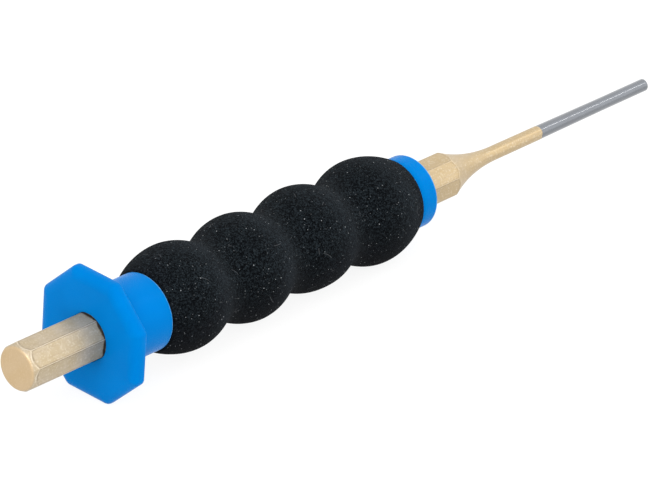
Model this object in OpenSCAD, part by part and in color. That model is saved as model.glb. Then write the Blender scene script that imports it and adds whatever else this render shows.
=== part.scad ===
// Pin punch with a push-on hand guard.
// The steel punch is one forging, drawn as two parts that meet where its lacquer ends: the
// octagonal shank and the bare ground pin. It carries three grip pieces: a moulded guard whose
// core tube slides over the shank, a foam sleeve with finger bulges, and an end collar.
// The tool lies along X: the struck face is at the origin and the pin points towards +X.
// The guard rests on one of its flats, so -Z points at the bench.

/* [Shank] */
// Across flats of the octagonal bar
shank_af = 14; // [10:0.5:20]
// Height taken off each corner of the octagon, where the bar was drawn round
corner_break = 0.08; // [0.02:0.02:0.3]
// Length of shank that shows in front of the grip, up to where the flats run out
shank_show = 15.5; // [5:0.5:60]
// Turn of the shank's flats against the flats of the guard, as it was pushed on
shank_turn = 5; // [0:1:45]

/* [Struck head] */
// How far the bevel comes in from the corners of the bar
head_inset = 0.68; // [0.3:0.02:2]
// Radius that rounds the face into the bevel
head_round = 1; // [0.4:0.1:2]
// Angle between the bevel and the axis
head_bevel = 26; // [20:1:50]

/* [Neck and pin] */
// Radius of the hollow that the neck was turned with
neck_hollow = 54; // [30:1:120]
// Growth in radius of the slim neck from the pin back to the hollow
neck_taper = 0.05; // [0.05:0.05:1]
// Length of the slim neck between the hollow and the ground pin
neck_len = 21; // [5:1:60]
// Diameter of the ground pin at its straight end
pin_d = 4; // [2:0.1:8]
// Length of the ground pin
pin_len = 51; // [20:1:90]
// Share of the pin's length, at its tip, that is ground straight
straight_share = 0.4; // [0.2:0.05:0.8]
// Growth in radius of the pin from its straight end back to the neck
pin_draft = 0.2; // [0.05:0.05:0.6]
// Bevel round the end of the pin
tip_bevel = 0.3; // [0.1:0.1:0.8]

/* [Hand guard] */
// Length of shank that stands out behind the guard
guard_setback = 28.25; // [10:0.25:60]
// Across flats of the octagonal guard plate
guard_af = 39; // [34:0.5:60]
// Thickness of the guard plate
guard_t = 4.5; // [4:0.1:7]
// Radius that rounds the rear rim of the guard plate, on the hammer's side
guard_round = 2.4; // [0.6:0.1:2.6]
// Radius that rounds its front rim
guard_edge = 1.1; // [0.4:0.1:1.2]
// Height taken off each corner of the guard plate
guard_corner = 0.2; // [0.05:0.01:0.5]
// How far the sleeve behind the foam stands out beyond the core tube
sleeve_step = 2.75; // [1.5:0.25:4]
// Length of that sleeve in front of the guard plate
sleeve_len = 18.5; // [6:0.5:40]
// Radius in the corner between the plate and the sleeve
sleeve_fillet = 0.8; // [0.3:0.1:2]
// Rounding of the sleeve's front rim
sleeve_rim = 0.5; // [0.2:0.1:1]
// Wall of the core tube that runs on under the foam
core_wall = 1.7; // [1.2:0.1:2.5]
// Radial clearance between the bore and the corners of the shank
bore_clear = 0.05; // [0.02:0.01:0.1]

/* [Foam grip] */
// Number of finger bulges along the foam
fingers = 4; // [2:1:5]
// Distance from one bulge to the next
finger_pitch = 26.8; // [20:0.2:32]
// Thickness of the foam in the valleys between the bulges
valley_wall = 3.6; // [1.5:0.05:6]
// Height of a bulge above the valleys
bulge_h = 3.4; // [1:0.05:7]
// Thickness of the foam at its two ends
end_wall = 2.95; // [1.5:0.05:6]
// Share of the way from bulge to valley where the crown turns into the valley
crown_share = 0.65; // [0.3:0.05:0.9]
// Radial clearance of the foam on the core tube
foam_clear = 0.1; // [0.05:0.05:0.3]

/* [Front collar] */
// How far the end collar stands out beyond the core tube
collar_wall = 2.15; // [1.5:0.05:4]
// Depth of the seat that takes the end of the core tube
collar_seat = 5; // [3:0.5:10]
// Thickness of the lip that closes the seat in front
collar_lip = 2.5; // [1.5:0.5:6]
// Rounding of the collar's front rim
collar_edge = 0.8; // [0.3:0.1:1.2]
// Radial clearance of that seat on the core tube
seat_clear = 0.05; // [0.02:0.01:0.1]

/* [Hidden] */
$fn = 96;
sides = 8;
side_turn = 360 / sides;
half_turn = side_turn / 2;

// Radii of the bar and of what is built up around it
corner_r = shank_af / 2 / cos(half_turn) - corner_break;
bore_r = corner_r + bore_clear;
core_r = bore_r + core_wall;
sleeve_r = core_r + sleeve_step;
collar_r = core_r + collar_wall;
foam_bore = core_r + foam_clear;
valley_r = foam_bore + valley_wall;
bulge_r = valley_r + bulge_h;
end_r = foam_bore + end_wall;
guard_reach = guard_af / 2 / cos(half_turn) - guard_corner;

// Stations of the grip, from the rear face of the guard
foam_start = guard_t + sleeve_len;
foam_len = fingers * finger_pitch;
collar_start = foam_start + foam_len;
core_end = collar_start + collar_seat;
core_lead = 0.4;
collar_end = core_end + collar_lip;

// Radii and stations of the punch, from the struck face
pin_r = pin_d / 2;
pin_root = pin_r + pin_draft;
neck_r = pin_root + neck_taper;
round_out = head_round * cos(head_bevel);
round_up = head_round * (1 - sin(head_bevel));
face_r = corner_r - head_inset - round_out;
head_end = round_up + head_inset / tan(head_bevel);
shank_len = guard_setback + collar_end + shank_show;
hollow_rise = neck_hollow - (shank_af / 2 - neck_r);
hollow_len = sqrt(neck_hollow * neck_hollow - hollow_rise * hollow_rise);
neck_start = shank_len + hollow_len;
pin_start = neck_start + neck_len;

// Steps of the arcs and of the foam's wave, and how far a bore's cutter runs past both ends
arc_step = 15;
wave_steps = 6;
through = 1;

// Turns a piece that was drawn up the Z axis so that it points along +X
module along_x(from = 0) {
    translate([from, 0, 0]) rotate([0, 90, 0]) children();
}

// Points of an arc about a centre, counted in degrees from the first 2D axis
function arc(centre, r, from, to) = [
    for (i = [0 : ceil(abs(to - from) / arc_step)])
        let (a = from + (to - from) * i / ceil(abs(to - from) / arc_step))
        centre + r * [cos(a), sin(a)]
];

// Upright octagonal bar with a flat facing the first 2D axis
module octagon_bar(af, h) {
    rotate(half_turn) cylinder(d = af / cos(half_turn), h = h, $fn = sides);
}

// Half section of the shank as it was turned: head, bar, hollow and slim neck
module shank_section() {
    difference() {
        polygon(concat(
            [[0, 0]],
            arc([face_r, head_round], head_round, -90, -head_bevel),
            [[corner_r, head_end], [corner_r, neck_start], [0, neck_start]]
        ));
        translate([neck_r + neck_hollow, neck_start]) circle(r = neck_hollow, $fn = 360);
    }
    polygon([
        [0, neck_start],
        [neck_r, neck_start],
        [pin_root, pin_start],
        [0, pin_start]
    ]);
}

// The shank: octagonal bar whose flats run out into the bevelled head and the hollow neck
module shank() {
    color("burlywood") along_x() intersection() {
        rotate_extrude() shank_section();
        rotate(shank_turn) octagon_bar(shank_af, pin_start);
    }
}

// The pin: the slim end of the same forging, ground after the lacquer with a little draft
// behind its straight end
module pin() {
    color("silver") along_x(pin_start) rotate_extrude() polygon([
        [0, 0],
        [pin_root, 0],
        [pin_r, pin_len * (1 - straight_share)],
        [pin_r, pin_len - tip_bevel],
        [pin_r - tip_bevel, pin_len],
        [0, pin_len]
    ]);
}

// One slab of the guard plate: two opposite sides with their rims rounded
module guard_slab() {
    rear = guard_af / 2 - guard_round;
    front = guard_af / 2 - guard_edge;
    top = guard_t - guard_edge;
    rotate([90, 0, 0]) linear_extrude(height = 2 * guard_af, center = true) polygon(concat(
        arc([rear, guard_round], guard_round, -90, 0),
        arc([front, top], guard_edge, 0, 90),
        arc([-front, top], guard_edge, 90, 180),
        arc([-rear, guard_round], guard_round, 180, 270)
    ));
}

// Octagonal guard plate: four crossed slabs, with the corners rounded off
module guard_plate() {
    intersection() {
        intersection_for(k = [0 : sides / 2 - 1]) rotate(k * side_turn) guard_slab();
        cylinder(r = guard_reach, h = guard_t);
    }
}

// Half section of the sleeve in front of the plate and the core tube under the foam
module core_section() {
    polygon(concat(
        [[0, guard_t / 2], [sleeve_r + sleeve_fillet, guard_t / 2]],
        arc([sleeve_r + sleeve_fillet, guard_t + sleeve_fillet], sleeve_fillet, 270, 180),
        arc([sleeve_r - sleeve_rim, foam_start - sleeve_rim], sleeve_rim, 0, 90),
        [
            [core_r, foam_start],
            [core_r, core_end - core_lead],
            [core_r - core_lead, core_end],
            [0, core_end]
        ]
    ));
}

// The hand guard: plate, sleeve and core tube moulded in one, with a round bore
module hand_guard() {
    color("dodgerblue") along_x(guard_setback) difference() {
        union() {
            guard_plate();
            rotate_extrude() core_section();
        }
        translate([0, 0, -through]) cylinder(r = bore_r, h = core_end + 2 * through);
    }
}

// Radius of the foam at w, which runs from -1 to 1 over one bulge: crown, then valley
function wave_r(w) = abs(w) < crown_share
    ? bulge_r - (bulge_r - valley_r) / crown_share * w * w
    : valley_r + (bulge_r - valley_r) / (1 - crown_share) * pow(1 - abs(w), 2);

// The outer half of the first and last bulge falls straight to the end of the foam
function foam_r(k, w) = (k == 0 && w < 0) || (k == fingers - 1 && w > 0)
    ? bulge_r - (bulge_r - end_r) * w * w
    : wave_r(w);

// The foam grip: a sleeve with one soft bulge for each finger
module foam_grip() {
    outline = [
        for (k = [0 : fingers - 1], i = [k == 0 ? -wave_steps : 1 - wave_steps : wave_steps])
            let (w = i / wave_steps)
            [foam_r(k, w), foam_start + finger_pitch * (k + 0.5 + w / 2)]
    ];
    color("dimgray") along_x(guard_setback) rotate_extrude() polygon(concat(
        [[foam_bore, foam_start]],
        outline,
        [[foam_bore, collar_start]]
    ));
}

// The front collar: a ring pushed on the end of the core tube, which holds the foam on
module front_collar() {
    seat_r = core_r + seat_clear;
    color("dodgerblue") along_x(guard_setback) rotate_extrude() polygon(concat(
        [
            [seat_r, collar_start],
            [collar_r, collar_start]
        ],
        arc([collar_r - collar_edge, collar_end - collar_edge], collar_edge, 0, 90),
        [
            [bore_r, collar_end],
            [bore_r, core_end],
            [seat_r, core_end]
        ]
    ));
}

shank();
pin();
hand_guard();
foam_grip();
front_collar();
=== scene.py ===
import math

import bpy
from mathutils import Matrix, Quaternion, Vector


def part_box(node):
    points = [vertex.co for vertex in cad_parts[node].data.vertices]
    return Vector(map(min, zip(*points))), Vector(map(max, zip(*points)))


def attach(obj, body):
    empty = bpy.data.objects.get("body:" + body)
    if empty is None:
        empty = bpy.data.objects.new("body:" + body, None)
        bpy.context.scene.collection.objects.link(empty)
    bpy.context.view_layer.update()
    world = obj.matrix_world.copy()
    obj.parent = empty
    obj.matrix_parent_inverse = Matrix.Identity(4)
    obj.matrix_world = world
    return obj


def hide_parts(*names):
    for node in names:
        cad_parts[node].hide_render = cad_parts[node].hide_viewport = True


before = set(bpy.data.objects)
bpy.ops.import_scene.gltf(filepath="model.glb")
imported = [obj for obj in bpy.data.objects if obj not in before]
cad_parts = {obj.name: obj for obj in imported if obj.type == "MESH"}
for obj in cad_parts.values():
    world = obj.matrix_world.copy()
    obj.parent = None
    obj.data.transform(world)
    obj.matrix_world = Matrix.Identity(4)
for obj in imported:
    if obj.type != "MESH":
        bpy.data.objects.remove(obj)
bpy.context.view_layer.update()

# The shank: octagonal bar of chrome vanadium steel, forged in one piece with the pin. Its flats
# run out into the turned bevel of the struck head and into the hollow-turned neck. It is dipped
# in a pale gold clear lacquer, which ends in a slightly uneven line where the pin begins.
MM = 0.001
sides, side_turn, half_turn, side_columns = 8, 45.0, 22.5, 8
bar_flats, bar_corner, bar_turn = 14.0, 0.97, 5.0
head_face, head_round, head_bevel = 5.918, 1.0, 26.0
neck_hollow, neck_reach, neck_start = 54.0, 2.25, 203.596
pin_root, pin_start = 2.2, 224.596
clear_of_bar, edge_softness = 8.6, 0.05
face_rings, bar_rings = (2.0, 4.0, 5.2), (12.0, 40.0, 80.0, 120.0, 160.0, 174.0)
round_steps, bevel_steps, hollow_steps, neck_steps = 9, 16, 60, 8
lacquer_waves, lacquer_lip = ((0.12, 3, 1), (0.07, 7, 2)), 0.05
mouth_ring = 28.25


def flat_half_angle(flats, corner):
    """Half the angle in degrees that one flat of an octagon with rounded corners takes up."""
    half = flats / 2
    return math.degrees(math.atan((half - corner) * math.tan(math.radians(half_turn)) / half))


def off_flat(angle, turn):
    """Angle in degrees from the middle of the nearest flat."""
    return abs((angle - turn + half_turn) % side_turn - half_turn)


def eight_sided(angle, flats, corner, turn=0.0):
    """Reach in mm from the axis to an octagon with rounded corners, at an angle in degrees."""
    off = off_flat(angle, turn)
    if off <= flat_half_angle(flats, corner):
        return flats / 2 / math.cos(math.radians(off))
    centre = (flats / 2 - corner) / math.cos(math.radians(half_turn))
    across = math.radians(half_turn - off)
    return centre * math.cos(across) + math.sqrt(corner ** 2 - (centre * math.sin(across)) ** 2)


def eight_sided_spokes(flats, corner, turn=0.0):
    """Angles of the mesh columns: even over each flat, and close together round each corner."""
    flat = flat_half_angle(flats, corner)
    over_flat = [-flat + 2 * flat * i / side_columns for i in range(side_columns)]
    round_corner = [flat + (side_turn - 2 * flat) * i / side_columns for i in range(side_columns)]
    return [turn + side_turn * side + step for side in range(sides) for step in over_flat + round_corner]


def shell(name, spokes, rings, loop=False):
    """A skin of rings about the X axis. Each ring has a station and a reach in mm for every spoke,
    or a single pair where the skin closes on the axis. A loop also joins the last ring to the first."""
    points, numbers, faces = [], [], []
    for ring in rings:
        numbers.append(range(len(points), len(points) + len(ring)))
        for (station, reach), spoke in zip(ring, spokes):
            around = math.radians(spoke)
            points.append((station * MM, reach * math.cos(around) * MM, reach * math.sin(around) * MM))
    following = numbers[1:] + numbers[:1] if loop else numbers[1:]
    for here, there in zip(numbers, following):
        for j in range(len(spokes)):
            k = (j + 1) % len(spokes)
            if len(here) == 1:
                faces.append((here[0], there[k], there[j]))
            elif len(there) == 1:
                faces.append((here[j], here[k], there[0]))
            else:
                faces.append((here[j], here[k], there[k], there[j]))
    mesh = bpy.data.meshes.new(name)
    mesh.from_pydata(points, [], faces)
    mesh.shade_smooth()
    piece = bpy.data.objects.new(name, mesh)
    bpy.context.scene.collection.objects.link(piece)
    return piece


def lacquer_end(angle):
    """Station in mm where the lacquer stops, which wanders a little round the neck."""
    around = math.radians(angle)
    return pin_start + sum(height * math.sin(count * around + phase)
                           for height, count, phase in lacquer_waves)


# Half section as it was turned: face, round, bevel, bar, hollow and slim neck. Each ring of the skin
# then takes the smaller of this section and the octagon, with the edge between them a little soft.
turned = [(0.0, reach) for reach in face_rings]
for i in range(round_steps + 1):
    a = math.radians(-90 + (90 - head_bevel) * i / round_steps)
    turned.append((head_round * (1 + math.sin(a)), head_face + head_round * math.cos(a)))
bevel_start, bevel_foot = turned[-1]
for i in range(1, bevel_steps + 1):
    reach = bevel_foot + (clear_of_bar - bevel_foot) * i / bevel_steps
    turned.append((bevel_start + (reach - bevel_foot) / math.tan(math.radians(head_bevel)), reach))
turned += [(station, clear_of_bar) for station in bar_rings]
hollow_centre = neck_reach + neck_hollow
hollow_length = math.sqrt(neck_hollow ** 2 - (hollow_centre - clear_of_bar) ** 2)
for i in range(hollow_steps + 1):
    back = hollow_length * (1 - i / hollow_steps) ** 0.7
    turned.append((neck_start - back, hollow_centre - math.sqrt(neck_hollow ** 2 - back ** 2)))
for i in range(1, neck_steps):
    turned.append((neck_start + (pin_start - neck_start) * i / neck_steps,
                   neck_reach + (pin_root - neck_reach) * i / neck_steps))

bar_spokes = eight_sided_spokes(bar_flats, bar_corner, bar_turn)
bar_reach = [eight_sided(angle, bar_flats, bar_corner, bar_turn) for angle in bar_spokes]
half_side = bar_flats / 2 * math.tan(math.radians(half_turn))
to_corner = [half_side - bar_flats / 2 * math.tan(math.radians(off_flat(angle, bar_turn)))
             for angle in bar_spokes]
rings, run_out, corner = [[(0.0, 0.0)]], [-clear_of_bar], [half_side]
for station, reach in turned:
    softened = [edge_softness * math.log1p(math.exp(-abs(reach - bar) / edge_softness))
                for bar in bar_reach]
    rings.append([(station, min(bar, reach) - drop) for bar, drop in zip(bar_reach, softened)])
    run_out += [reach - bar for bar in bar_reach]
    corner += to_corner
rings += [[(lacquer_end(angle) - step, pin_root) for angle in bar_spokes] for step in (lacquer_lip, 0.0)]
rings.append([(pin_start, 0.0)])
run_out += [-clear_of_bar] * (2 * len(bar_spokes) + 1)
corner += to_corner + to_corner + [half_side]
shank = shell("lacquered_shank", bar_spokes, rings)
shank.data.attributes.new("run_out", "FLOAT", "POINT").data.foreach_set("value", run_out)
shank.data.attributes.new("corner", "FLOAT", "POINT").data.foreach_set("value", corner)


def add(tree, kind, inputs=None, **settings):
    """Adds a node with its settings. An input takes a value, a socket, or a node's first output."""
    node = tree.nodes.new(kind)
    for name, value in settings.items():
        setattr(node, name, value)
    for socket, value in (inputs or {}).items():
        if isinstance(value, bpy.types.Node):
            value = value.outputs[0]
        if isinstance(value, bpy.types.NodeSocket):
            tree.links.new(value, node.inputs[socket])
        else:
            node.inputs[socket].default_value = value
    return node


def linear(colour):
    """Linear colour of an sRGB hex value, with an alpha of 1."""
    parts = [int(colour[i:i + 2], 16) / 255 for i in (1, 3, 5)]
    return [c / 12.92 if c <= 0.04045 else ((c + 0.055) / 1.055) ** 2.4 for c in parts] + [1.0]


# Clear gold lacquer on forged and shot-blasted steel: the metal glows through the film, which pools
# unevenly in the blasted skin, warm on the struck face and deepest towards the neck. Where two faces
# meet the film draws back, so each edge is a thin bright line, part worn bare steel and part painted
# highlight, with a darker one beside it on the flat, fainter in front. A painted shade darkens a ring
# on the shank where the mouth of the guard sits.
lacquer = bpy.data.materials.new("gold_lacquer_on_forged_steel")
lacquer.use_nodes = True
tree = lacquer.node_tree
tree.nodes.clear()
place = add(tree, "ShaderNodeTexCoord").outputs["Object"]
along = add(tree, "ShaderNodeSeparateXYZ", {0: place}).outputs["X"]
cloud = add(tree, "ShaderNodeTexNoise", {"Vector": place, "Scale": 1 / (6 * MM), "Detail": 3.0})
speckle = add(tree, "ShaderNodeTexNoise", {"Vector": place, "Scale": 1 / (0.6 * MM), "Detail": 3.0})
along_bar = add(tree, "ShaderNodeMapping", {"Vector": place, "Scale": (0.03, 1.0, 1.0)})
lines = add(tree, "ShaderNodeTexNoise", {"Vector": along_bar, "Scale": 1 / (0.5 * MM), "Detail": 2.0})
cloud_share = add(tree, "ShaderNodeMapRange", {"Value": cloud, 1: 0.32, 2: 0.68})
tone = add(tree, "ShaderNodeMix", {0: cloud_share, 6: linear("#B0A28C"), 7: linear("#A79677")},
           data_type="RGBA")
depth_share = add(tree, "ShaderNodeMapRange", {"Value": along, 1: 20 * MM, 2: 200 * MM, 3: 0.0, 4: 0.7})
deep = add(tree, "ShaderNodeMix", {0: depth_share, 6: tone.outputs[2], 7: linear("#AE966C")},
           data_type="RGBA")
line_share = add(tree, "ShaderNodeMapRange", {"Value": lines, 1: 0.45, 2: 0.75, 3: 0.0, 4: 0.35})
lined = add(tree, "ShaderNodeMix", {0: line_share, 6: deep.outputs[2], 7: linear("#94826A")},
            data_type="RGBA")
speckle_share = add(tree, "ShaderNodeMapRange", {"Value": speckle, 1: 0.52, 2: 0.7, 3: 0.0, 4: 0.45})
speckled = add(tree, "ShaderNodeMix", {0: speckle_share, 6: lined.outputs[2], 7: linear("#CDC2AC")},
               data_type="RGBA")
run_out = add(tree, "ShaderNodeAttribute", attribute_name="run_out").outputs["Fac"]
corner = add(tree, "ShaderNodeAttribute", attribute_name="corner").outputs["Fac"]
from_edge = add(tree, "ShaderNodeMath", {0: run_out, 1: corner}, operation="MINIMUM")
broken = add(tree, "ShaderNodeTexNoise", {"Vector": place, "Scale": 1 / (1.5 * MM), "Detail": 3.0})
broken_share = add(tree, "ShaderNodeMapRange", {"Value": broken, 1: 0.35, 2: 0.6, 3: 0.25, 4: 1.0})
edge_fade = add(tree, "ShaderNodeMapRange", {"Value": along, 1: 30 * MM, 2: 170 * MM, 3: 1.0, 4: 0.55})
edge_share = add(tree, "ShaderNodeMath", {0: broken_share, 1: edge_fade}, operation="MULTIPLY")
from_groove = add(tree, "ShaderNodeMath", {0: from_edge, 1: 0.28, 2: 0.14}, operation="COMPARE")
groove_share = add(tree, "ShaderNodeMath", {0: from_groove, 1: edge_share}, operation="MULTIPLY")
groove_tone = add(tree, "ShaderNodeMath", {0: groove_share, 1: 0.5}, operation="MULTIPLY")
grooved = add(tree, "ShaderNodeMix", {0: groove_tone, 6: speckled.outputs[2], 7: linear("#6E604F")},
              data_type="RGBA")
# The pale line along each edge is part worn bare steel and part painted highlight.
off_edge = add(tree, "ShaderNodeMath", {0: from_edge}, operation="ABSOLUTE")
bare_and_highlight_edge = add(tree, "ShaderNodeMapRange", {"Value": off_edge, 1: 0.14, 2: 0.04, 3: 0.0, 4: 0.5})
bare_and_highlight_share = add(tree, "ShaderNodeMath", {0: bare_and_highlight_edge, 1: edge_share}, operation="MULTIPLY")
worn_and_highlit = add(tree, "ShaderNodeMix", {0: bare_and_highlight_share, 6: grooved.outputs[2], 7: linear("#DCD2C0")},
           data_type="RGBA")
face_share = add(tree, "ShaderNodeMapRange", {"Value": along, 1: 0.6 * MM, 2: 0.2 * MM, 3: 0.0, 4: 0.6})
faced = add(tree, "ShaderNodeMix", {0: face_share, 6: worn_and_highlit.outputs[2], 7: linear("#C2A479")},
            data_type="RGBA")
# Painted shade: a dark ring on the shank where the mouth of the guard sits.
from_mouth = add(tree, "ShaderNodeMath", {0: along, 1: mouth_ring * MM}, operation="SUBTRACT")
off_mouth = add(tree, "ShaderNodeMath", {0: from_mouth}, operation="ABSOLUTE")
mouth_shade_off = add(tree, "ShaderNodeMath", {0: broken, 1: 1.2 * MM, 2: off_mouth}, operation="MULTIPLY_ADD")
mouth_shade_share = add(tree, "ShaderNodeMapRange", {
    "Value": mouth_shade_off, 1: 1.3 * MM, 2: 0.9 * MM, 3: 0.0, 4: 0.85})
mouth_shaded = add(tree, "ShaderNodeMix", {0: mouth_shade_share, 6: faced.outputs[2], 7: linear("#14110E")},
             data_type="RGBA")
shine = add(tree, "ShaderNodeMapRange", {"Value": speckle, 1: 0.3, 2: 0.7, 3: 0.3, 4: 0.46})
blasted = add(tree, "ShaderNodeMath", {0: speckle, 1: lines}, operation="ADD")
relief = add(tree, "ShaderNodeBump", {"Height": blasted, "Strength": 0.25, "Distance": 0.05 * MM})
surface = add(tree, "ShaderNodeBsdfPrincipled", {
    "Base Color": mouth_shaded.outputs[2], "Metallic": 0.55, "Roughness": shine, "Normal": relief})
add(tree, "ShaderNodeOutputMaterial", {"Surface": surface})
shank.data.materials.append(lacquer)
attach(shank, "punch")
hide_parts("shank")

# The pin: the slim end of the same forging, ground between centres after the lacquer has dried and
# left bare. It thins a little up to its straight end, which is the size that it drives, and its edge
# is broken at the tip, so that it does not spread when struck.
pin_reach, straight_start = 2.0, 255.196
tip_station, tip_edge, tip_run, tip_middle = 275.596, 0.3, 1.2, 0.8
taper_rings, straight_rings, taper_blend = (226.0, 232.0, 240.0, 248.0), (262.0, 270.0), 0.5
quarter = [math.radians(90 * i / 6) for i in range(7)]
rings = [[(pin_start, 0.0)]]
rings += [[(lacquer_end(angle) + step, pin_root) for angle in bar_spokes] for step in (0.0, lacquer_lip)]
for station in (*taper_rings, straight_start - taper_blend):
    thinned = (station - pin_start) / (straight_start - pin_start)
    rings.append([(station, pin_root + (pin_reach - pin_root) * thinned)] * len(bar_spokes))
for station in (straight_start + taper_blend, *straight_rings, tip_station - tip_run):
    rings.append([(station, pin_reach)] * len(bar_spokes))
for a in quarter:
    rings.append([(tip_station - tip_edge * (1 - math.sin(a)), pin_reach - tip_edge * (1 - math.cos(a)))]
                 * len(bar_spokes))
rings.append([(tip_station, tip_middle)] * len(bar_spokes))
rings.append([(tip_station, 0.0)])
pin = shell("ground_pin", bar_spokes, rings)

# Ground tool steel: fine rings run round the pin from the grinding wheel. They are far too fine
# for a render, so they are drawn 0.5 mm wide. The bare steel is grey, with a sharp narrow gleam.
steel = bpy.data.materials.new("ground_tool_steel")
steel.use_nodes = True
tree = steel.node_tree
tree.nodes.clear()
place = add(tree, "ShaderNodeTexCoord").outputs["Object"]
round_pin = add(tree, "ShaderNodeMapping", {"Vector": place, "Scale": (1.0, 0.06, 0.06)})
wheel_marks = add(tree, "ShaderNodeTexNoise", {
    "Vector": round_pin, "Scale": 1 / (0.5 * MM), "Detail": 3.0})
haze = add(tree, "ShaderNodeTexNoise", {"Vector": place, "Scale": 1 / (9 * MM), "Detail": 2.0})
mark_share = add(tree, "ShaderNodeMapRange", {"Value": wheel_marks, 1: 0.35, 2: 0.65})
ground = add(tree, "ShaderNodeMix", {0: mark_share, 6: linear("#686C72"), 7: linear("#6D7177")},
             data_type="RGBA")
haze_share = add(tree, "ShaderNodeMapRange", {"Value": haze, 1: 0.4, 2: 0.7, 3: 0.0, 4: 0.4})
hazed = add(tree, "ShaderNodeMix", {0: haze_share, 6: ground.outputs[2], 7: linear("#62656B")},
            data_type="RGBA")
shine = add(tree, "ShaderNodeMapRange", {"Value": wheel_marks, 1: 0.3, 2: 0.7, 3: 0.38, 4: 0.44})
relief = add(tree, "ShaderNodeBump", {"Height": wheel_marks, "Strength": 0.02, "Distance": 0.01 * MM})
surface = add(tree, "ShaderNodeBsdfPrincipled", {
    "Base Color": hazed.outputs[2], "Metallic": 0.85, "Roughness": shine, "Normal": relief,
    "Coat Weight": 1.0, "Coat Roughness": 0.035})
add(tree, "ShaderNodeOutputMaterial", {"Surface": surface})
pin.data.materials.append(steel)
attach(pin, "punch")
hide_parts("pin")

# The hand guard: one polypropylene moulding of an octagonal plate, a round sleeve and a core tube that
# runs on under the foam. Its round bore is pushed on over the corners of the shank. A dark gap shows
# beside three flats, and at the others the bore's rear edge has crept in to the bar.
plate_flats, plate_corner, plate_back, plate_front = 39.0, 2.4, 28.25, 32.75
rear_inset, rear_round, front_round, corner_share = 3.4, 2.4, 1.1, 0.7
plate_shares = (0.15, 0.5, 0.85, 0.97)
bore_reach, bore_edge = 7.547, 0.1
gap_middle, gap_half, mouth_clearance, mouth_depth = 140.0, 1.5 * side_turn, 0.1, 1.0
sleeve_reach, sleeve_end, sleeve_fillet, sleeve_rim = 11.997, 51.25, 0.8, 0.5
sleeve_rings, sleeve_rim_highlight = (34.1, 38.5, 45.5, 50.1), 0.7
core_reach, core_end, core_lead, core_middle, beside_edge = 9.247, 163.45, 0.4, 100.0, 0.5
guard_spokes = eight_sided_spokes(plate_flats, plate_corner)
round_ring = len(guard_spokes)


def plate_ring(station, inset, share, inner):
    """A ring of the plate: a share of the way from a round inner reach out to the inset octagon."""
    outline = [eight_sided(angle, plate_flats - 2 * inset, plate_corner - corner_share * inset)
               for angle in guard_spokes]
    return [(station, inner + (reach - inner) * share) for reach in outline]


def mouth_reach(angle):
    """Reach in mm of the bore's rear edge: round over the three flats of the side with the gap, and
    crept in to the flats of the bar elsewhere."""
    if abs((angle - gap_middle + 180) % 360 - 180) < gap_half:
        return bore_reach
    return min(bore_reach, eight_sided(angle, bar_flats + 2 * mouth_clearance, bar_corner, bar_turn))


rings = [[(plate_back + bore_edge * (1 - math.sin(a)), mouth_reach(angle) + bore_edge * (1 - math.cos(a)))
          for angle in guard_spokes] for a in quarter]
for share in plate_shares:
    rings.append(plate_ring(plate_back, rear_inset, share, bore_reach + bore_edge))
for a in quarter:
    rings.append(plate_ring(plate_back + rear_round * (1 - math.cos(a)),
                            rear_inset * (1 - math.sin(a)), 1, 0))
for a in quarter:
    rings.append(plate_ring(plate_front - front_round * (1 - math.sin(a)),
                            front_round * (1 - math.cos(a)), 1, 0))
for share in reversed(plate_shares):
    rings.append(plate_ring(plate_front, front_round, share, sleeve_reach + sleeve_fillet))
for a in quarter:
    rings.append([(plate_front + sleeve_fillet * (1 - math.cos(a)),
                   sleeve_reach + sleeve_fillet * (1 - math.sin(a)))] * round_ring)
rings += [[(station, sleeve_reach)] * round_ring for station in sleeve_rings]
for a in quarter:
    rings.append([(sleeve_end - sleeve_rim * (1 - math.sin(a)),
                   sleeve_reach - sleeve_rim * (1 - math.cos(a)))] * round_ring)
for station, reach in (
        (sleeve_end, core_reach + beside_edge), (sleeve_end, core_reach),
        (sleeve_end + beside_edge, core_reach), (core_middle, core_reach),
        (core_end - core_lead, core_reach), (core_end, core_reach - core_lead),
        (core_end, bore_reach), (core_end - beside_edge, bore_reach), (core_middle, bore_reach),
        (plate_back + mouth_depth, bore_reach)):
    rings.append([(station, reach)] * round_ring)
guard = shell("guard_moulding", guard_spokes, rings, loop=True)
# Painted highlight: the front rim of the sleeve is marked for a pale line.
on_rim = [sleeve_end - sleeve_rim < station <= sleeve_end and reach > sleeve_reach - sleeve_rim
          for (station, reach), *_ in rings]
guard.data.attributes.new("rim", "FLOAT", "POINT").data.foreach_set(
    "value", [sleeve_rim_highlight if rim_highlit else 0.0 for rim_highlit in on_rim for _ in guard_spokes])

# Blue polypropylene, moulded in a lightly spark-eroded tool: a satin waxy skin with a little light
# let in, faint flow clouds from the gate, and a texture of about 0.3 mm. The front rims carry a pale
# painted highlight, broken into patches.
blue = bpy.data.materials.new("blue_polypropylene")
blue.use_nodes = True
tree = blue.node_tree
tree.nodes.clear()
place = add(tree, "ShaderNodeTexCoord").outputs["Object"]
flow = add(tree, "ShaderNodeTexNoise", {"Vector": place, "Scale": 1 / (14 * MM), "Detail": 2.0})
flow_share = add(tree, "ShaderNodeMapRange", {"Value": flow, 1: 0.35, 2: 0.65})
dyed = add(tree, "ShaderNodeMix", {0: flow_share, 6: linear("#0068AE"), 7: linear("#006CB4")},
           data_type="RGBA")
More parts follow.
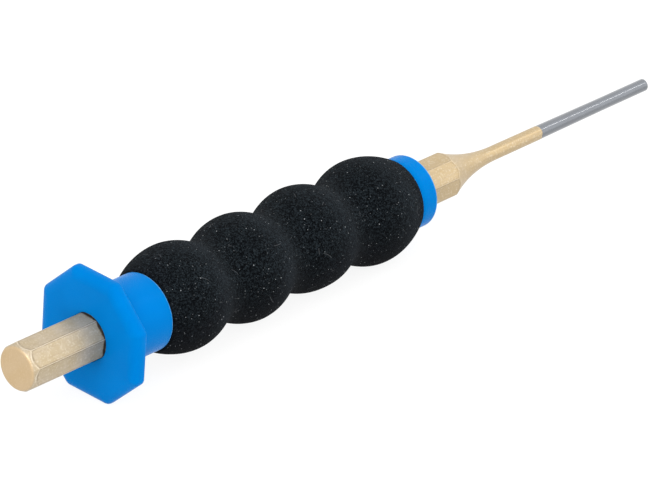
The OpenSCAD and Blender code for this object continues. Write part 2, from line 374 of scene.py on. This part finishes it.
# Painted highlight: a pale line on the front rims of the sleeve and collar, in patches.
rim = add(tree, "ShaderNodeAttribute", attribute_name="rim").outputs["Fac"]
rim_highlight_noise = add(tree, "ShaderNodeTexNoise", {"Vector": place, "Scale": 1 / (2.5 * MM), "Detail": 3.0})
rim_highlight_patch = add(tree, "ShaderNodeMapRange", {"Value": rim_highlight_noise, 1: 0.4, 2: 0.6, 3: 0.35, 4: 1.0})
rim_highlight_share = add(tree, "ShaderNodeMath", {0: rim, 1: rim_highlight_patch}, operation="MULTIPLY")
rim_highlit = add(tree, "ShaderNodeMix", {0: rim_highlight_share, 6: dyed.outputs[2], 7: linear("#7FBDE8")},
              data_type="RGBA")
spark = add(tree, "ShaderNodeTexNoise", {"Vector": place, "Scale": 1 / (0.3 * MM), "Detail": 2.0})
shine = add(tree, "ShaderNodeMapRange", {"Value": spark, 1: 0.3, 2: 0.7, 3: 0.22, 4: 0.32})
relief = add(tree, "ShaderNodeBump", {"Height": spark, "Strength": 0.12, "Distance": 0.03 * MM})
surface = add(tree, "ShaderNodeBsdfPrincipled", {
    "Base Color": rim_highlit.outputs[2], "Roughness": shine, "Normal": relief, "IOR": 1.49,
    "Specular IOR Level": 0.03, "Specular Tint": linear("#0A5FB0"), "Subsurface Weight": 0.1,
    "Subsurface Scale": 1.5 * MM, "Subsurface Radius": (0.1, 0.5, 1.0)})
add(tree, "ShaderNodeOutputMaterial", {"Surface": surface})
guard.data.materials.append(blue)
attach(guard, "grip")
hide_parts("hand_guard")

# The foam grip: a sleeve of black closed-cell rubber foam, moulded with one bulge for each finger
# and pulled over the core tube up to the sleeve. The third bulge is pressed a little flat where
# the tool lies. Its skin is cut cells, which hold dust and lint.
foam_values = {
    "Start": 51.25 * MM, "Pitch": 26.8 * MM, "Fingers": 4, "Bore reach": 9.347 * MM,
    "Valley reach": 12.947 * MM, "Bulge reach": 16.347 * MM, "End reach": 12.297 * MM,
    "Crown share": 0.65, "Rows per finger": 44, "Bore rows": 8, "Columns": 144,
    "Unevenness": 0.12 * MM, "Seed": 7.0, "Pressed place": 2.5, "Pressed depth": 0.75 * MM,
    "Pressed angle": math.radians(-125), "Pressed fall": -9.0, "Pressed roundness": 3.0}
foam_girth, lump_reach = 15 * MM, 14 * MM

# Black rubber foam: cut cells of about a third of a millimetre give a matte, velvety skin that
# brightens at a glancing angle. The cell tone is painted darker towards the underside, as painted
# shade. Pale dust and a painted sheen lie on the front flank of each bulge, with bright specks and a
# few curled fibres.
foam_black = bpy.data.materials.new("black_rubber_foam")
foam_black.use_nodes = True
tree = foam_black.node_tree
tree.nodes.clear()
place = add(tree, "ShaderNodeTexCoord").outputs["Object"]
cells = add(tree, "ShaderNodeTexVoronoi", {"Vector": place, "Scale": 1 / (0.36 * MM)})
cell_pick = add(tree, "ShaderNodeSeparateColor", {0: cells.outputs["Color"]})
cell_tone = add(tree, "ShaderNodeMath", {0: cell_pick, 1: 2.0}, operation="POWER")
grain = add(tree, "ShaderNodeTexNoise", {"Vector": place, "Scale": 1 / (0.4 * MM), "Detail": 3.0})
patch = add(tree, "ShaderNodeTexNoise", {"Vector": place, "Scale": 1 / (11 * MM), "Detail": 3.0})
axes = add(tree, "ShaderNodeSeparateXYZ", {0: place})
# Painted shade: the cell tone darkens towards the underside of the foam.
underside_shade = add(tree, "ShaderNodeMapRange", {
    "Value": axes.outputs["Z"], 1: -11 * MM, 2: 7 * MM, 3: 0.05, 4: 1.0})
underside_shaded_tone = add(tree, "ShaderNodeMath", {0: cell_tone, 1: underside_shade}, operation="MULTIPLY")
rubber = add(tree, "ShaderNodeMix", {0: underside_shaded_tone, 6: linear("#030406"), 7: linear("#1E2428")},
             data_type="RGBA")
# Dust and painted sheen: a pale band added on the front flank of each bulge.
dust_and_sheen_flank = add(tree, "ShaderNodeAttribute", attribute_name="dust_and_sheen_flank").outputs["Fac"]
patch_share = add(tree, "ShaderNodeMapRange", {"Value": patch, 1: 0.3, 2: 0.7, 3: 0.4, 4: 1.0})
dust_and_sheen = add(tree, "ShaderNodeMath", {0: dust_and_sheen_flank, 1: patch_share}, operation="MULTIPLY")
dust_and_sheen_added = add(tree, "ShaderNodeMix", {0: dust_and_sheen, 6: rubber.outputs[2], 7: linear("#0F1215")},
            data_type="RGBA", blend_type="ADD")
specks = add(tree, "ShaderNodeTexVoronoi", {"Vector": place, "Scale": 1 / (0.8 * MM)})
speck_pick = add(tree, "ShaderNodeSeparateColor", {0: specks.outputs["Color"]})
speck_size = add(tree, "ShaderNodeMapRange", {"Value": speck_pick, 1: 0.3, 2: 1.0, 3: 0.07, 4: 0.24})
speck_edge = add(tree, "ShaderNodeMath", {0: speck_size, 1: specks.outputs["Distance"]},
                 operation="SUBTRACT")
speck_share = add(tree, "ShaderNodeMapRange", {"Value": speck_edge, 1: 0.0, 2: 0.05, 3: 0.0, 4: 1.0})
speck_light = add(tree, "ShaderNodeMath", {0: speck_pick.outputs[1], 1: 2.5}, operation="POWER")
speck_tone = add(tree, "ShaderNodeMath", {0: speck_share, 1: speck_light}, operation="MULTIPLY")
specked = add(tree, "ShaderNodeMix", {0: speck_tone, 6: dust_and_sheen_added.outputs[2], 7: linear("#8D9092")},
              data_type="RGBA")
round_foam = add(tree, "ShaderNodeMath", {0: axes.outputs["Y"], 1: axes.outputs["Z"]},
                 operation="ARCTAN2")
girth = add(tree, "ShaderNodeMath", {0: round_foam, 1: foam_girth}, operation="MULTIPLY")
unrolled = add(tree, "ShaderNodeCombineXYZ", {0: axes.outputs["X"], 1: girth})
lint = add(tree, "ShaderNodeTexVoronoi", {"Vector": unrolled, "Scale": 1 / (7 * MM)},
           voronoi_dimensions="2D")
lint_pick = add(tree, "ShaderNodeSeparateColor", {0: lint.outputs["Color"]})
from_middle = add(tree, "ShaderNodeVectorMath", {0: unrolled, 1: lint.outputs["Position"]},
                  operation="SUBTRACT")
lint_turn = add(tree, "ShaderNodeMath", {0: lint_pick.outputs[0], 1: 6.28}, operation="MULTIPLY")
lint_axes = add(tree, "ShaderNodeVectorRotate", {"Vector": from_middle, "Angle": lint_turn},
                rotation_type="Z_AXIS")
lint_place = add(tree, "ShaderNodeSeparateXYZ", {0: lint_axes})
lint_square = add(tree, "ShaderNodeMath", {0: lint_place.outputs["X"], 1: 2.0}, operation="POWER")
lint_curl = add(tree, "ShaderNodeMapRange", {"Value": lint_pick.outputs[1], 3: -120.0, 4: 120.0})
lint_bow = add(tree, "ShaderNodeMath", {0: lint_square, 1: lint_curl, 2: 0.0}, operation="MULTIPLY_ADD")
lint_off = add(tree, "ShaderNodeMath", {0: lint_place.outputs["Y"], 1: lint_bow}, operation="SUBTRACT")
lint_side = add(tree, "ShaderNodeMath", {0: lint_off}, operation="ABSOLUTE")
lint_line = add(tree, "ShaderNodeMapRange", {"Value": lint_side, 1: 0.12 * MM, 2: 0.05 * MM})
lint_reach = add(tree, "ShaderNodeMath", {0: lint_place.outputs["X"]}, operation="ABSOLUTE")
lint_length = add(tree, "ShaderNodeMapRange", {"Value": lint_pick.outputs[2], 3: 0.4 * MM, 4: 2.0 * MM})
lint_ends = add(tree, "ShaderNodeMath", {0: lint_reach, 1: lint_length}, operation="LESS_THAN")
lint_chosen = add(tree, "ShaderNodeMath", {0: lint_pick.outputs[1], 1: 0.3}, operation="LESS_THAN")
lint_body = add(tree, "ShaderNodeMath", {0: lint_line, 1: lint_ends}, operation="MULTIPLY")
lint_share = add(tree, "ShaderNodeMath", {0: lint_body, 1: lint_chosen}, operation="MULTIPLY")
lint_faint = add(tree, "ShaderNodeMath", {0: lint_share, 1: 0.22}, operation="MULTIPLY")
linted = add(tree, "ShaderNodeMix", {0: lint_faint, 6: specked.outputs[2], 7: linear("#75777A")},
             data_type="RGBA")
cell_relief = add(tree, "ShaderNodeMath", {0: cells.outputs["Distance"], 1: grain}, operation="ADD")
relief = add(tree, "ShaderNodeBump", {"Height": cell_relief, "Strength": 1.0, "Distance": 0.2 * MM})
surface = add(tree, "ShaderNodeBsdfPrincipled", {
    "Base Color": linted.outputs[2], "Roughness": 0.95, "Normal": relief, "Specular IOR Level": 0.01,
    "Sheen Weight": 0.029, "Sheen Roughness": 0.55, "Sheen Tint": linear("#D5D9DE")})
add(tree, "ShaderNodeOutputMaterial", {"Surface": surface})

tree = bpy.data.node_groups.new("finger_foam", "GeometryNodeTree")
for name, value in foam_values.items():
    socket_type = "NodeSocketInt" if isinstance(value, int) else "NodeSocketFloat"
    tree.interface.new_socket(name, in_out="INPUT", socket_type=socket_type)
tree.interface.new_socket("Material", in_out="INPUT", socket_type="NodeSocketMaterial")
tree.interface.new_socket("Foam", in_out="OUTPUT", socket_type="NodeSocketGeometry")
size = add(tree, "NodeGroupInput").outputs

# Rows of the sheet: over the skin from the sleeve to the collar, back through the bore, and closed
last_skin = add(tree, "ShaderNodeMath", {0: size["Fingers"], 1: size["Rows per finger"]},
                operation="MULTIPLY")
last_bore = add(tree, "ShaderNodeMath", {0: last_skin, 1: size["Bore rows"]}, operation="ADD")
last_row = add(tree, "ShaderNodeMath", {0: last_bore, 1: 1.0}, operation="ADD")
row_count = add(tree, "ShaderNodeMath", {0: last_row, 1: 1.0}, operation="ADD")
sheet = add(tree, "GeometryNodeMeshGrid", {
    "Size X": 1.0, "Size Y": 1.0, "Vertices X": row_count, "Vertices Y": size["Columns"]})
spot = add(tree, "ShaderNodeSeparateXYZ", {0: add(tree, "GeometryNodeInputPosition")}).outputs
from_edge = add(tree, "ShaderNodeMath", {0: spot["X"], 1: 0.5}, operation="ADD")
row_exact = add(tree, "ShaderNodeMath", {0: from_edge, 1: last_row}, operation="MULTIPLY")
row = add(tree, "ShaderNodeMath", {0: row_exact}, operation="ROUND")
over_skin = add(tree, "ShaderNodeMath", {0: row, 1: last_skin}, operation="DIVIDE")
bore_left = add(tree, "ShaderNodeMath", {0: last_bore, 1: row}, operation="SUBTRACT")
bore_steps = add(tree, "ShaderNodeMath", {0: size["Bore rows"], 1: 1.0}, operation="SUBTRACT")
over_bore = add(tree, "ShaderNodeMath", {0: bore_left, 1: bore_steps}, operation="DIVIDE")
along = add(tree, "ShaderNodeMath", {0: over_skin, 1: over_bore}, operation="MINIMUM", use_clamp=True)
past_skin = add(tree, "ShaderNodeMath", {0: row, 1: last_skin}, operation="GREATER_THAN")
before_close = add(tree, "ShaderNodeMath", {0: row, 1: last_row}, operation="LESS_THAN")
in_bore = add(tree, "ShaderNodeMath", {0: past_skin, 1: before_close}, operation="MULTIPLY")

# Wave of the skin: a round crown on each finger, a tighter round in each valley, and ends that fall
# straight from the first and last crown
finger = add(tree, "ShaderNodeMath", {0: along, 1: size["Fingers"]}, operation="MULTIPLY")
in_finger = add(tree, "ShaderNodeMath", {0: finger}, operation="FRACT")
centred = add(tree, "ShaderNodeMath", {0: in_finger, 1: 2.0, 2: -1.0}, operation="MULTIPLY_ADD")
off_crown = add(tree, "ShaderNodeMath", {0: centred}, operation="ABSOLUTE")
off_square = add(tree, "ShaderNodeMath", {0: off_crown, 1: 2.0}, operation="POWER")
rise = add(tree, "ShaderNodeMath", {0: size["Bulge reach"], 1: size["Valley reach"]},
           operation="SUBTRACT")
crown_fall = add(tree, "ShaderNodeMath", {0: rise, 1: size["Crown share"]}, operation="DIVIDE")
crown_drop = add(tree, "ShaderNodeMath", {0: crown_fall, 1: off_square}, operation="MULTIPLY")
crown = add(tree, "ShaderNodeMath", {0: size["Bulge reach"], 1: crown_drop}, operation="SUBTRACT")
valley_share = add(tree, "ShaderNodeMath", {0: 1.0, 1: size["Crown share"]}, operation="SUBTRACT")
valley_fall = add(tree, "ShaderNodeMath", {0: rise, 1: valley_share}, operation="DIVIDE")
off_valley = add(tree, "ShaderNodeMath", {0: 1.0, 1: off_crown}, operation="SUBTRACT")
valley_square = add(tree, "ShaderNodeMath", {0: off_valley, 1: 2.0}, operation="POWER")
dip = add(tree, "ShaderNodeMath", {0: valley_fall, 1: valley_square, 2: size["Valley reach"]},
          operation="MULTIPLY_ADD")
on_crown = add(tree, "ShaderNodeMath", {0: off_crown, 1: size["Crown share"]}, operation="LESS_THAN")
wave = add(tree, "ShaderNodeMix", {0: on_crown, 2: dip, 3: crown})
end_rise = add(tree, "ShaderNodeMath", {0: size["Bulge reach"], 1: size["End reach"]},
               operation="SUBTRACT")
end_drop = add(tree, "ShaderNodeMath", {0: end_rise, 1: off_square}, operation="MULTIPLY")
end_fall = add(tree, "ShaderNodeMath", {0: size["Bulge reach"], 1: end_drop}, operation="SUBTRACT")
middle = add(tree, "ShaderNodeMath", {0: size["Fingers"], 1: 2.0}, operation="DIVIDE")
from_middle = add(tree, "ShaderNodeMath", {0: finger, 1: middle}, operation="SUBTRACT")
off_middle = add(tree, "ShaderNodeMath", {0: from_middle}, operation="ABSOLUTE")
last_crown = add(tree, "ShaderNodeMath", {0: middle, 1: 0.5}, operation="SUBTRACT")
at_end = add(tree, "ShaderNodeMath", {0: off_middle, 1: last_crown}, operation="GREATER_THAN")
skin = add(tree, "ShaderNodeMix", {0: at_end, 2: wave, 3: end_fall})

# Softness of the skin: slow lumps, and the flat that the third bulge has been pressed to
turn = add(tree, "ShaderNodeMath", {0: spot["Y"], 1: -2 * math.pi}, operation="MULTIPLY")
cosine = add(tree, "ShaderNodeMath", {0: turn}, operation="COSINE")
sine = add(tree, "ShaderNodeMath", {0: turn}, operation="SINE")
length = add(tree, "ShaderNodeMath", {0: size["Pitch"], 1: size["Fingers"]}, operation="MULTIPLY")
station = add(tree, "ShaderNodeMath", {0: along, 1: length, 2: size["Start"]}, operation="MULTIPLY_ADD")
lump_y = add(tree, "ShaderNodeMath", {0: cosine, 1: lump_reach}, operation="MULTIPLY")
lump_z = add(tree, "ShaderNodeMath", {0: sine, 1: lump_reach}, operation="MULTIPLY")
lump_spot = add(tree, "ShaderNodeCombineXYZ", {0: station, 1: lump_y, 2: lump_z})
lumps = add(tree, "ShaderNodeTexNoise", {
    "Vector": lump_spot, "W": size["Seed"], "Scale": 1 / (13 * MM), "Detail": 1.0}, noise_dimensions="4D")
lump_share = add(tree, "ShaderNodeMath", {0: lumps, 1: 2.0, 2: -1.0}, operation="MULTIPLY_ADD")
other_end = add(tree, "ShaderNodeMath", {0: 1.0, 1: along}, operation="SUBTRACT")
near_end = add(tree, "ShaderNodeMath", {0: along, 1: other_end}, operation="MINIMUM")
away = add(tree, "ShaderNodeMath", {0: near_end, 1: 15.0}, operation="MULTIPLY", use_clamp=True)
lump_fade = add(tree, "ShaderNodeMath", {0: lump_share, 1: away}, operation="MULTIPLY")
lumpy = add(tree, "ShaderNodeMath", {0: lump_fade, 1: size["Unevenness"], 2: skin.outputs[0]},
            operation="MULTIPLY_ADD")
off_press = add(tree, "ShaderNodeMath", {0: finger, 1: size["Pressed place"]}, operation="SUBTRACT")
press_along = add(tree, "ShaderNodeMath", {0: off_press, 1: 2.0}, operation="POWER")
press_fall = add(tree, "ShaderNodeMath", {0: press_along, 1: size["Pressed fall"]}, operation="MULTIPLY")
press_bell = add(tree, "ShaderNodeMath", {0: press_fall}, operation="EXPONENT")
press_turn = add(tree, "ShaderNodeMath", {0: turn, 1: size["Pressed angle"]}, operation="SUBTRACT")
press_side = add(tree, "ShaderNodeMath", {0: press_turn}, operation="COSINE", use_clamp=True)
press_round = add(tree, "ShaderNodeMath", {0: press_side, 1: size["Pressed roundness"]},
                  operation="POWER")
pressed = add(tree, "ShaderNodeMath", {0: press_bell, 1: press_round}, operation="MULTIPLY")
press_depth = add(tree, "ShaderNodeMath", {0: pressed, 1: size["Pressed depth"]}, operation="MULTIPLY")
soft = add(tree, "ShaderNodeMath", {0: lumpy, 1: press_depth}, operation="SUBTRACT")
reach = add(tree, "ShaderNodeMix", {0: in_bore, 2: soft, 3: size["Bore reach"]})
foam_y = add(tree, "ShaderNodeMath", {0: reach, 1: cosine}, operation="MULTIPLY")
foam_z = add(tree, "ShaderNodeMath", {0: reach, 1: sine}, operation="MULTIPLY")
foam_spot = add(tree, "ShaderNodeCombineXYZ", {0: station, 1: foam_y, 2: foam_z})

# The front flank of each bulge, where dust and a painted sheen lie, and the finished sleeve
past_crown = add(tree, "ShaderNodeMapRange", {"Value": centred, 1: -0.3, 2: 0.5},
                 interpolation_type="SMOOTHSTEP")
before_dip = add(tree, "ShaderNodeMapRange", {"Value": centred, 1: 1.0, 2: 0.5},
                 interpolation_type="SMOOTHSTEP")
dust_and_sheen_band = add(tree, "ShaderNodeMath", {0: past_crown, 1: before_dip}, operation="MULTIPLY")
marked = add(tree, "GeometryNodeStoreNamedAttribute", {
    "Geometry": sheet, "Name": "dust_and_sheen_flank", "Value": dust_and_sheen_band}, data_type="FLOAT", domain="POINT")
placed = add(tree, "GeometryNodeSetPosition", {"Geometry": marked, "Position": foam_spot})
welded = add(tree, "GeometryNodeMergeByDistance", {"Geometry": placed, "Distance": 0.005 * MM})
smooth = add(tree, "GeometryNodeSetShadeSmooth", {"Geometry": welded})
real = add(tree, "GeometryNodeRealizeInstances", {"Geometry": smooth})
dressed = add(tree, "GeometryNodeSetMaterial", {"Geometry": real, "Material": size["Material"]})
add(tree, "NodeGroupOutput", {"Foam": dressed})

foam = bpy.data.objects.new("foam_sleeve", bpy.data.meshes.new("foam_sleeve"))
bpy.context.scene.collection.objects.link(foam)
maker = foam.modifiers.new("finger_foam", "NODES")
maker.node_group = tree
for socket in tree.interface.items_tree:
    if socket.in_out == "INPUT":
        maker[socket.identifier] = foam_black if socket.name == "Material" else foam_values[socket.name]
graph = bpy.context.evaluated_depsgraph_get()
plain = bpy.data.meshes.new_from_object(
    foam.evaluated_get(graph), preserve_all_data_layers=True, depsgraph=graph)
foam.modifiers.clear()
foam.data = plain
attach(foam, "grip")
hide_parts("foam_grip")

# The front collar: a ring of the same blue polypropylene, pushed on the end of the core tube. Its
# lip closes the seat in front, and it keeps the foam from creeping off the tube.
collar_reach, collar_back, collar_front, collar_edge = 11.397, 158.45, 165.95, 0.8
seat_reach, collar_lead, collar_middle, collar_rim_highlight = 9.297, 0.2, 161.45, 0.45
rim_run, face_outer, face_inner = 1.2, 9.997, 8.447
collar_columns = 120
collar_spokes = [360 * i / collar_columns for i in range(collar_columns)]
profile = [(collar_back, seat_reach), (collar_back, seat_reach + core_lead),
           (collar_back, collar_reach - collar_lead), (collar_back + collar_lead, collar_reach),
           (collar_middle, collar_reach), (collar_front - rim_run, collar_reach)]
profile += [(collar_front - collar_edge * (1 - math.sin(a)),
             collar_reach - collar_edge * (1 - math.cos(a))) for a in quarter]
profile += [(collar_front, face_outer), (collar_front, face_inner)]
profile += [(collar_front - bore_edge * (1 - math.cos(a)), bore_reach + bore_edge * (1 - math.sin(a)))
            for a in quarter]
profile += [(core_end + core_lead, bore_reach), (core_end, bore_reach), (core_end, seat_reach),
            (core_end - beside_edge, seat_reach)]
collar = shell("end_collar", collar_spokes, [[spot] * len(collar_spokes) for spot in profile], loop=True)
# Painted highlight: the collar's front rim is marked for the same pale line.
collar.data.attributes.new("rim", "FLOAT", "POINT").data.foreach_set(
    "value", [collar_rim_highlight if station > collar_front - collar_edge and reach > collar_reach - collar_edge
              else 0.0 for station, reach in profile for _ in collar_spokes])
collar.data.materials.append(blue)
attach(collar, "grip")
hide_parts("front_collar")

# The bench: a wide sheet of white card that glows a little, as on a light table. The tool lies on a
# flat of its guard and on the last bulge of its foam, so the card leans that much against the tool.
guard_touch, foam_touch = 31.15, 145.05
guard_low, foam_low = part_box("hand_guard")[0].z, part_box("foam_grip")[0].z
lean = math.atan2(foam_low - guard_low, (foam_touch - guard_touch) * MM)
half_width, card_gap = 4.0, 0.02
card = bpy.data.meshes.new("white_card")
card.from_pydata([(guard_touch * MM + u * half_width * math.cos(lean), v * half_width,
                   guard_low - card_gap * MM + u * half_width * math.sin(lean))
                  for u, v in ((-1, -1), (1, -1), (1, 1), (-1, 1))], [], [(0, 1, 2, 3)])
bench = bpy.data.objects.new("white_card", card)
bpy.context.scene.collection.objects.link(bench)
paper = bpy.data.materials.new("matte_white_card")
paper.use_nodes = True
tree = paper.node_tree
tree.nodes.clear()
place = add(tree, "ShaderNodeTexCoord").outputs["Object"]
fibre = add(tree, "ShaderNodeTexNoise", {"Vector": place, "Scale": 1 / (3 * MM), "Detail": 2.0})
pulp = add(tree, "ShaderNodeMix", {0: fibre, 6: linear("#666666"), 7: linear("#6A6A6A")},
           data_type="RGBA")
surface = add(tree, "ShaderNodeBsdfPrincipled", {
    "Base Color": pulp.outputs[2], "Roughness": 0.9, "Specular IOR Level": 0.1,
    "Emission Color": linear("#FFFFFF"), "Emission Strength": 0.88})
add(tree, "ShaderNodeOutputMaterial", {"Surface": surface})
card.materials.append(paper)

# The light: a white studio tent that is brighter on the camera's side and a little dimmer overhead,
# with a wide soft box over the struck end and a narrow strip on the far right that draws the thin
# gleam along the pin.
studio = bpy.data.worlds.new("white_tent")
studio.use_nodes = True
tree = studio.node_tree
tree.nodes.clear()
towards = add(tree, "ShaderNodeSeparateXYZ", {0: add(tree, "ShaderNodeTexCoord").outputs["Generated"]})
glow = add(tree, "ShaderNodeMapRange", {"Value": towards.outputs["Y"], 1: -1.0, 2: 1.0, 3: 2.0, 4: 1.1})
roof = add(tree, "ShaderNodeMapRange", {"Value": towards.outputs["Z"], 1: 0.3, 2: 1.0, 3: 1.0, 4: 0.86})
strength = add(tree, "ShaderNodeMath", {0: glow, 1: roof}, operation="MULTIPLY")
tent = add(tree, "ShaderNodeBackground", {"Color": linear("#FFFFFF"), "Strength": strength})
add(tree, "ShaderNodeOutputWorld", {"Surface": tent})
bpy.context.scene.world = studio
aim = Vector((125.58, -2.3, -2.8)) * MM
for name, spot, width, depth, power in (
        ("soft_box", (-1.0, -0.45, 1.2), 1.2, 1.2, 12.0),
        ("strip", (1.58, -0.69, 1.31), 0.06, 0.6, 2.2)):
    lamp = bpy.data.lights.new(name, "AREA")
    lamp.shape, lamp.size, lamp.size_y, lamp.energy = "RECTANGLE", width, depth, power
    light = bpy.data.objects.new(name, lamp)
    light.location = spot
    light.rotation_mode = "QUATERNION"
    light.rotation_quaternion = (aim - light.location).to_track_quat("-Z", "Y")
    light.visible_camera = False
    bpy.context.scene.collection.objects.link(light)

# The camera: a long lens from behind the head and above, turned as the photograph is
azimuth, elevation, roll, distance = math.radians(-49.2), math.radians(28.1), math.radians(4.12), 1.6871
back = Vector((math.sin(azimuth) * math.cos(elevation), -math.cos(azimuth) * math.cos(elevation),
               math.sin(elevation)))
lens = bpy.data.cameras.new("long_lens")
lens.sensor_fit, lens.sensor_width, lens.lens = "HORIZONTAL", 36.0, 316.7
camera = bpy.data.objects.new("camera", lens)
camera.location = aim + back * distance
camera.rotation_mode = "QUATERNION"
camera.rotation_quaternion = (-back).to_track_quat("-Z", "Y") @ Quaternion((0, 0, 1), roll)
bpy.context.scene.collection.objects.link(camera)
bpy.context.scene.camera = camera
bpy.context.scene.view_settings.view_transform = "Standard"
